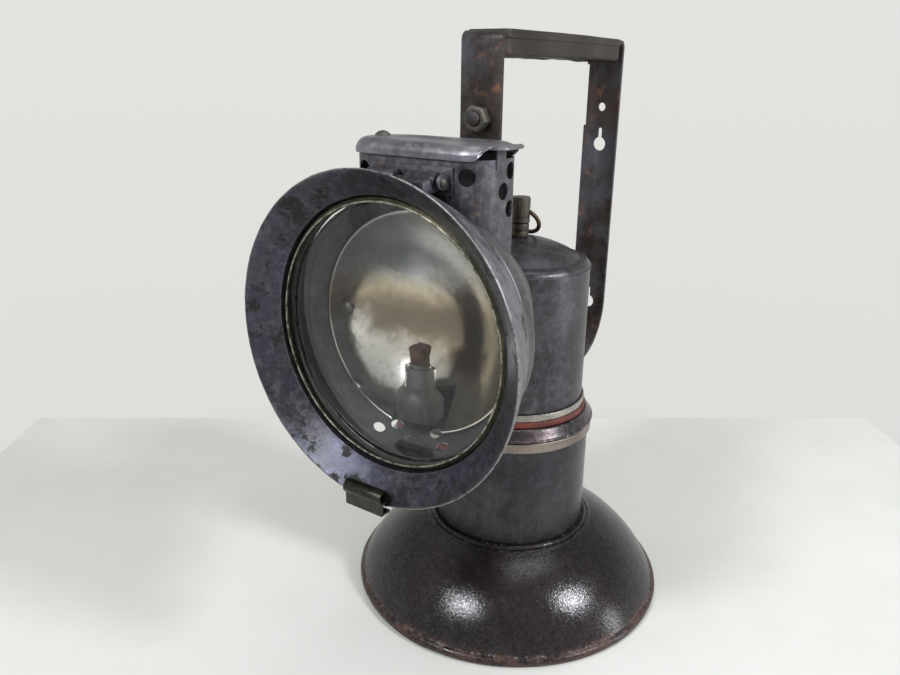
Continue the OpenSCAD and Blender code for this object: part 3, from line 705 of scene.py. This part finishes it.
def lens_glass():
    """Glass with faint smears. It lets light through to what lies behind it, without a dark shadow."""
    m = Mat("lens_glass", rough=0.04, metallic=0.0, Transmission_Weight=1.0, IOR=1.45)
    smears = m.range(m.noise(30, 4, 0.6, seed=40), 0.4, 0.7)
    m.color(m.mix(smears, (0.93, 0.95, 0.94), (0.86, 0.88, 0.86)))
    m.rough(m.range(m.noise(16, 6, 0.7, seed=41), 0.45, 0.75, 0.0, 0.03))
    m.bump((m.noise(25, 2, 0.5, seed=42), 0.01))
    clear, path, mixed = m.node("BsdfTransparent"), m.node("LightPath"), m.node("MixShader")
    indirect = m.math("MAXIMUM", path.outputs["Is Shadow Ray"], path.outputs["Is Diffuse Ray"])
    m.put(mixed.inputs[0], m.math("MAXIMUM", indirect, path.outputs["Is Glossy Ray"]))
    m.tree.links.new(m.bsdf.outputs[0], mixed.inputs[1])
    m.tree.links.new(clear.outputs[0], mixed.inputs[2])
    m.tree.links.new(mixed.outputs[0], m.tree.nodes["Material Output"].inputs["Surface"])


foot_and_container_metals()
tank_metals()
head_metals()
door_metals()
handle_metals()
reflector_silver()
lens_glass()

# ---- floor ---------------------------------------------------------------------------------------


def make_floor():
    """The pale plate that the lamp stands on, turned and cut as in the photograph. Sizes are in metres."""
    m = Mat("FloorPlate", rough=0.35, metallic=0.0)
    clouds = m.range(m.noise(90, 4, 0.6, seed=60), 0.35, 0.65)
    m.color(m.mix(clouds, (0.60, 0.607, 0.578), (0.64, 0.646, 0.62)))
    m.bump((m.noise(2, 3, 0.6, seed=61), 0.01))
    floor = bpy.data.objects.new("Floor", bpy.data.meshes.new("Floor"))
    scene.collection.objects.link(floor)
    wide, deep = 0.67, 0.9
    corner = Vector((-0.4016, -0.0507, 0))
    along, across = Vector((0.811, 0.584, 0)), Vector((0.584, -0.811, 0))
    bm = bmesh.new()
    for s, t in ((0, 0), (wide, 0), (wide, deep), (0, deep)):
        bm.verts.new(corner + along * s + across * t)
    bm.faces.new(bm.verts)
    bmesh.ops.recalc_face_normals(bm, faces=bm.faces)
    bm.to_mesh(floor.data)
    bm.free()
    floor.data.materials.append(m.material)


make_floor()

# ---- pieces: outlines are [radius, height, rounding], or [radius, distance in front] on the head ----

for node, o in NODES.items():
    o.data.materials.clear()
    o.data.materials.append(MATERIALS[SLOT_OF[node]])


def dents(o, size, depth, seed=0, inward=False, fine=0.0, fine_size=6.0):
    """Knocks and ripples of pressed sheet, along the normals."""
    def amount(p, n):
        a = noise3(p, size, seed) * depth
        if inward:
            a = a - depth
        return a + noise3(p, fine_size, seed + 1) * fine
    return push(o, amount)


def keep_in(o, low, high):
    """Holds every point between two opposite corners, in millimetres."""
    set_coords(o.data, np.clip(coords(o.data), low, high))
    return o


def arc(cx, cy, r, a0, a1, n):
    """Points on an arc round (cx, cy) from a0 to a1 degrees."""
    angles = [math.radians(a0 + (a1 - a0) * i / n) for i in range(n + 1)]
    return [(cx + r * math.cos(a), cy + r * math.sin(a)) for a in angles]


def foot_skirt():
    """The bell of sheet, curled round its wire and standing on a narrow flat ring.

    The attribute "rim" marks the rusty rim.
    """
    bell = arc(22.8, -21.8, 63.35, 69.6, 25.0, 26)
    under = arc(22.8, -21.8, 62.15, 25.6, 68.4, 24)
    curl = [(r, max(0.0, z)) for r, z in arc(*RIM_AT, RIM_ROLL_R, 62, -205, 22)]
    lip = [(41.5, 38.1), (43.6, 38.35), (44.4, 38.0)]
    neck = [(43.0, 36.6), (41.3, 36.0), (41.3, 33), (40.05, 33), (40.05, 37.6)]
    o = lathe("Foot", lip + bell + curl + under + neck, seg=256, r=0.2, steps=2, gap=3.0, angle=50)
    dents(o, 46, 0.32, 3, fine=0.10, fine_size=15)
    p = coords(o.data)
    p[p[:, 2] < 0.35, 2] = 0
    radius = np.hypot(p[:, 0], p[:, 1])
    p[:, :2] *= np.minimum(1, FOOT_R / np.maximum(radius, 1))[:, None]
    set_coords(o.data, p)
    attribute(o, "rim", step(radius, 78.6, 80.6) * 0.85)
    return o


def foot_rim_wire():
    return dents(lathe("FootWire", arc(*RIM_AT, RIM_WIRE_R, 0, 330, 11), seg=192, r=0, gap=9), 9, 0.03, 4)


def foot_bead():
    """The uneven bead of solder between foot and container."""
    inner = CONTAINER_R + 0.06
    bead = [(inner, 37.5)] + arc(41.3, 38.4, 1.33, -150, 150, 12) + [(inner, 39.4)]
    return dents(lathe("FootBead", bead, seg=256, r=0.1, gap=1), 7, 0.12, 5, fine=0.10, fine_size=1.6)


def carbide_container():
    bottom, top, inside = CONTAINER_BOTTOM, CONTAINER_TOP, CONTAINER_R - SHEET
    cup = [(0, bottom), (CONTAINER_R, bottom, 2.4), (CONTAINER_R, top, 0.2), (inside, top, 0.2),
           (inside, bottom + SHEET, 1.5), (0, bottom + SHEET)]
    return dents(lathe("Container", cup, seg=192, gap=2.6), 34, 0.14, 6, inward=True, fine=0.03, fine_size=9)


def container_band():
    inner, outer = CONTAINER_R + 0.03, CONTAINER_R + 1.2
    band = [(inner, BAND_BOTTOM), (outer, BAND_BOTTOM, 0.5), (outer + 0.05, 94, 0.8), (outer, BAND_TOP, 0.5),
            (inner, BAND_TOP)]
    return dents(lathe("Band", band, seg=256, gap=1), 14, 0.05, 7, fine=0.03, fine_size=2.5)


def container_collar():
    """A lip over the band, and a slope up to the gasket."""
    collar = [(COLLAR_BORE, 91, 0.1), (39.0, 91, 0.1), (39.0, 97.1, 0.1), (41.2, 97.1), (41.9, 97.5),
              (41.9, 98.1), (41.15, 98.6), (40.5, 99.6, 0.8), (38.7, 102.6, 1.0), (38.0, COLLAR_TOP),
              (COLLAR_BORE + 0.05, COLLAR_TOP, 0.1)]
    o = lathe("Collar", collar, seg=256, r=0.28, gap=1.2)
    return dents(o, 16, 0.05, 8, inward=True, fine=0.025, fine_size=3)


def sealing_gasket():
    """Squeezed rubber with a ragged edge. It stays between the collar and the tank's ring."""
    gasket = [(36.6, 103.1), (37.1, 103.06), (37.5, 103.6), (37.6, 104.6), (37.5, 105.7), (37.1, GASKET_TOP),
              (36.6, GASKET_TOP)]
    o = lathe("Gasket", gasket, seg=420, r=0.15, gap=0.6)
    dents(o, 5, 0.2, 9, fine=0.17, fine_size=1.3)
    return keep_in(o, [-60, -60, COLLAR_TOP + 0.02], [60, 60, GASKET_TOP + 0.06])


def tank_ring():
    """The bright ring above the gasket, with the spigot that screws into the collar."""
    ring = [(34, 94), (36.35, 94), (36.35, 106.3, 0.1), (36.8, 106.35), (36.85, 109.5), (36.3, 109.75),
            (35.65, 109.6), (35.65, 107.3, 0.05), (34, 107.3, 0.1)]
    o = lathe("TankRing", ring, seg=256, r=0.3, gap=2)
    return dents(o, 12, 0.04, 10, inward=True, fine=0.03, fine_size=2.5)


def tank_shell():
    inside = TANK_R - THIN
    wall = [(inside, 107.32), (TANK_R - 0.02, 107.32), (TANK_R, 112, 4), (TANK_R, TANK_SEAM, 0.1),
            (inside, TANK_SEAM, 0.1)]
    return dents(lathe("TankWall", wall, seg=192, gap=2.6), 28, 0.13, 11, inward=True, fine=0.03, fine_size=8)


def tank_dome():
    """A shallow dome with a round shoulder that laps over the wall."""
    centre = DOME_TOP - DOME_SPHERE
    inner = DOME_SPHERE - 0.93
    top = [(r, centre + math.sqrt(DOME_SPHERE ** 2 - r * r)) for r in np.linspace(3.62, 30.4, 16)]
    low = [(r, centre + math.sqrt(inner ** 2 - r * r)) for r in np.linspace(31.0, 3.62, 14)]
    shoulder = [(31.2, 180.75, 0.5), (32.4, 180.35, 0.8)] + arc(31.75, 176.4, 4.0, 76, 6, 10)
    shoulder += [(35.75, 176.98, 0.15), (34.9, 176.98, 0.1), (33.6, 179.0, 1)]
    o = lathe("TankDome", top + shoulder + low, seg=192, r=0.15, steps=2, gap=2.6, angle=50)
    return dents(o, 24, 0.16, 12, inward=True, fine=0.05, fine_size=7)


def box_outline(inset, n=8):
    """The chimney's outline, seen from above, drawn in by inset."""
    points = []
    r = BOX_CORNER - inset
    for sx, sy, start in ((1, 1, 0), (-1, 1, 90), (-1, -1, 180), (1, -1, 270)):
        cx, cy = sx * (BOX_HALF[0] - BOX_CORNER), BOX_Y + sy * (BOX_HALF[1] - BOX_CORNER)
        points += arc(cx, cy, r, start, start + 90, n)
    return points


def prism(points, z0, z1):
    """An upright cutter on the given outline."""
    n = len(points)
    verts = [(x, y, z) for z in (z0, z1) for x, y in points]
    return build("cutter", verts, strips(n, 2) + caps(n, 2))


def chimney_inside():
    return prism(box_outline(THIN), 176, 250)


def head_drum():
    """The short drum behind the door, with a raised bead, open upwards into the chimney."""
    inside = DRUM_R - THIN
    drum = [(inside, DRUM_BACK), (DRUM_R, DRUM_BACK, 0.2), (DRUM_R, 85.0, 0.4), (53.75, 85.5),
            (54.0, 86.2, 0.6), (53.75, 86.9), (DRUM_R, 87.4, 0.4), (DRUM_R, DRUM_FRONT), (inside, DRUM_FRONT)]
    o = lathe("Drum", drum, seg=192, head=True, r=0.2, gap=2)
    return cut(dents(o, 26, 0.07, 13, inward=True), chimney_inside())


# the draught holes in the head's back: angle from straight down, distance in front of the tank's axis
VENTS = ((-19.3, 77), (-12.2, 70.5), (-1.6, 76.3), (11.4, 69.4), (17.6, 77))


def vent_cutter(angle, front):
    x, z = math.sin(math.radians(angle)), math.cos(math.radians(angle))
    return bar(*[(r * x, -front, HEAD_Z - r * z) for r in (30, 60)], 2.9)


def head_back():
    """The cone towards the tank, with the draught holes and a hole for the gas pipe."""
    inner = CONE_END + THIN
    back = [(0, CONE_END), (30.0, CONE_END, 1.2), (DRUM_R, DRUM_BACK, 0.3), (52.58, DRUM_BACK, 0.1),
            (29.7, inner, 1.0), (0, inner)]
    o = lathe("HeadBack", back, seg=192, head=True, r=0.2, gap=2.6)
    dents(o, 26, 0.06, 14, inward=True)
    pipe_hole = bar((0, -58, PIPE_Z), (0, -35, PIPE_Z), 3.5)
    return cut(o, chimney_inside(), pipe_hole, *[vent_cutter(*v) for v in VENTS])


def reflector():
    """The dish, with a slot for the burner, a hole for the gas pipe and two screw holes."""
    def sphere(radius, start, end):
        return [(r, DISH_CENTRE - math.sqrt(radius ** 2 - r * r)) for r in np.linspace(start, end, 22)]
    face = sphere(DISH_SPHERE - DISH_SHEET, DISH_R - DISH_SHEET, 0)
    outline = sphere(DISH_SPHERE, 0, DISH_R) + [(DISH_R + 0.15, 71.3, 0.2)] + face
    o = lathe("Reflector", outline, seg=160, head=True, r=0.05, steps=2, gap=3, angle=60)
    dents(o, 20, 0.16, 15, fine=0.02, fine_size=5)
    slot = block((-12.5, -80, 100), (12.5, -54.5, 142))
    slot_end = bar((0, BURNER_Y, 141.9), (0, BURNER_Y, 150), 8)
    pipe_hole = bar((0, -70, PIPE_Z), (0, -40, PIPE_Z), 4.9)
    screws = [bar((x, -75, HEAD_Z), (x, -55, HEAD_Z), 1.5) for x in (-SCREW_X, SCREW_X)]
    return cut(o, slot, slot_end, pipe_hole, *screws, angle=40)


def bezel_body():
    """The flared door, with a knocked edge. The attribute "rim" marks its outer wall, which is paler."""
    door = [(SKIRT_R, SKIRT_BACK, 0.3), (67.35, 116.5, 0.35), (67.1, 117.15, 0.3), (66.5, 117.0, 0.4),
            (56.3, 106.6, 0.3), (56.2, 96.4, 0.1), (57.05, 96.4, 0.1), (57.1, 105.7, 0.3), (65.0, 113.5, 0.3),
            (56.05, 92.9, 0.3), (54.3, 92.9, 0.3), (54.3, SKIRT_BACK, 0.3)]
    o = lathe("Door", door, seg=288, head=True, r=0.3, gap=2.2, angle=40)
    dents(o, 30, 0.08, 16, fine=0.05, fine_size=7)
    p = coords(o.data)
    edge = step(np.hypot(p[:, 0], p[:, 2] - HEAD_Z), 66.2, 67.2)
    p += normals(o.data) * (edge * (noise3(p, 1.7, 17) * 0.10 - 0.10))[:, None]
    set_coords(o.data, np.clip(p, [-DOOR_R, -DOOR_FRONT, 98.5], [DOOR_R, -80, 240]))
    radius, front = np.hypot(p[:, 0], p[:, 2] - HEAD_Z), -p[:, 1]
    slope = 0.4224                  # how far the wall flares out for each millimetre forward
    attribute(o, "rim", step(radius - SKIRT_R - (front - SKIRT_BACK) * slope, -0.6, -0.2) * 0.8)
    return o


def glass_ring():
    ring = [(53.4, 105.1, 0.2), (55.3, 102.78, 0.2), (56.14, 102.8, 0.1), (56.14, 103.7, 0.3),
            (55.2, 105.0, 1.0), (54.0, 106.15, 0.4), (53.4, 106.1, 0.25)]
    o = lathe("GlassRing", ring, seg=288, head=True, gap=1)
    return dents(o, 12, 0.04, 18, inward=True, fine=0.03, fine_size=2)


def glass_pane():
    """A slightly domed pane, ground on two spheres round one centre."""
    centre = LENS_FRONT - LENS_SPHERE
    lens = []
    for radius, start, end in ((LENS_SPHERE, 0, LENS_R), (LENS_SPHERE - LENS_GLASS, LENS_R, 0)):
        lens += [(r, centre + math.sqrt(radius ** 2 - r * r)) for r in np.linspace(start, end, 15)]
    return lathe("Glass", lens, seg=160, head=True, r=0.1, steps=2, gap=4, angle=40)


def glass_seal():
    seal = [(53.6, 98.7), (LENS_R, 98.7), (LENS_R, 99.7), (53.6, 99.7)]
    return dents(lathe("GlassSeal", seal, seg=160, head=True, gap=1.5), 5, 0.06, 19, inward=True)


def chimney_lid():
    """A sheet with a rolled edge, left flat and a little raised on the right, with a rivet hole."""
    corner = 14                     # steps in each corner
    middle = box_outline(BOX_CORNER - 0.1, corner)
    levels = [[(x * sx, BOX_Y + (y - BOX_Y) * sy, LID_TOP) for x, y in middle]
              for sx, sy in ((0.15, 0.0), (0.61, 0.35), (0.82, 0.7))]
    edges = [(inset, LID_TOP) for inset in (BOX_CORNER - 0.1, 9.0, 6.0)]
    edges += [(LID_ROLL - LID_OVER - LID_ROLL * math.cos(a), LID_TOP - LID_ROLL + LID_ROLL * math.sin(a))
              for a in np.radians(np.linspace(90, 0, 9))]
    edges += [(-LID_OVER, LID_TOP - LID_ROLL + z) for z in (0.2, -0.6, -1.1)]
    levels += [[(x, y, z) for x, y in box_outline(inset, corner)] for inset, z in edges]
    n = len(middle)
    o = build("Lid", sum(levels, []), strips(n, len(levels)) + [list(range(n))], 60)

    p = coords(o.data)
    flat = step(p[:, 0], 27.5, 31.5)
    below = LID_TOP - p[:, 2]
    reach = np.clip(below * 0.55, 0, 2.9) * flat
    p[:, 2] += below * flat * np.where(p[:, 1] > -60, 0.6, 1.0)
    p[:, 0] += reach * np.sign(p[:, 0]) * step(np.abs(p[:, 1] - BOX_Y), 14, 6)
    wave = 0.55 * np.cos(p[:, 0] * 0.098 + 0.6) + 0.35 * np.cos(p[:, 0] * 0.21 + p[:, 1] * 0.08)
    crown = 0.9 * (1 - (p[:, 0] / 36) ** 2) * (1 - ((p[:, 1] - BOX_Y) / 20) ** 2)
    p[:, 2] += (wave * 0.55 + crown) * step(p[:, 2], 234.5, 239) + noise3(p, 9, 21) * 0.16 - 0.35 * flat
    p[:, 1] += noise3(p, 13, 22) * 0.25 * step(below, 1, 4) * (1 - flat)
    set_coords(o.data, p)

    sheet = o.modifiers.new("sheet", "SOLIDIFY")
    sheet.thickness = SHEET * MM
    sheet.offset = -1
    finish_mesh(apply_all(o), 50)
    bevel(o, 0.2, 50)
    return cut(o, bar((-25.5, -73, 230), (-25.5, -73, 250), 1.6), angle=50)


def handle_grip():
    """Sheet folded over the crossbar, with its edges rolled in and a little wavy underneath."""
    roll_x, roll_z = 7, 274.7
    half = [(0, TOP), (10.4, TOP), (GRIP_HALF, 282.6), (GRIP_HALF, 279.4), (10.15, 279.2), (10.05, roll_z)]
    half += arc(roll_x, roll_z, 3.05, 0, -90, 5) + [(5.5, 271.65), (5.5, 272.45), (roll_x, 272.45)]
    half += arc(roll_x, roll_z, 2.25, -90, 0, 5) + [(9.25, 280.1), (10.05, 280.3), (10.05, 282.2), (0, 282.2)]
    profile = half + [(-x, z) for x, z in half[::-1] if x > 0]
    steps = 72
    verts = []
    for i in range(steps + 1):
        y = GRIP_START + (GRIP_END - GRIP_START) * i / steps
        to_end = min(y - GRIP_START, GRIP_END - y, 5)
        narrow = 1 - 0.16 * (1 - to_end / 5) ** 2
        crown = 0.28 * (1 - math.cos((y - 25) / 60 * math.pi)) / 2
        for x, z in profile:
            side, phase = (1, 0.7) if x > 0 else (-1, 2.1)
            low = 1 - min(max((z - 271.6) / 7, 0), 1)
            down = low * (0.22 * math.sin(y * 0.13 + phase) + 0.12 * math.sin(y * 0.34 + 1.3)) - crown
            out = low * 0.25 * math.sin(y * 0.16 + 1) * side
            verts.append(((x + out) * narrow, y, z + down))
    n = len(profile)
    o = build("Grip", verts, strips(n, steps + 1) + caps(n, steps + 1), 35)
    finish_mesh(bevel(o, 0.18, 40), 50)
    dents(o, 16, 0.07, 24, inward=True)
    return keep_in(o, [-GRIP_HALF, GRIP_START, 268], [GRIP_HALF, GRIP_END, TOP])


for make in (foot_skirt, foot_rim_wire, foot_bead, carbide_container, container_band, container_collar,
             sealing_gasket, tank_ring, tank_shell, tank_dome, head_drum, head_back, reflector, bezel_body,
             glass_ring, glass_pane, glass_seal, chimney_lid, handle_grip):
    settle(make(), make.__name__)

# the other pieces are CAD nodes with rounded edges: the width of the rounding in millimetres
settle(soften("pull_ring", 0.05, "pull_ring_worn"), "pull_ring")
WORN = {
    "valve_gland": 0.25, "valve_knob": 0.18, "burner_holder": 0.5, "burner_tips": 1.1, "gas_pipe": 0.2,
    "reflector_posts": 0.15, "reflector_screws": 0.18, "head_rivets": 0.15, "lid_rivets": 0.2,
    "chimney_box": 0.25, "hinge_bracket": 0.25, "hinge_pin": 0.2, "bezel_knuckles": 0.3, "glass_clip": 0.1,
    "catch_ears": 0.2, "catch_pin": 0.15, "catch_lever": 0.2, "handle_strap": 0.4, "handle_rivets": 0.2,
    "strap_bolt": 0.25, "strap_nut": 0.35, "tank_floor": 0.15, "drip_tube": 0.2, "valve_spindle": 0.15}
for node, width in WORN.items():
    settle(soften(node, width, node.title().replace("_", "") + "Worn"), node)
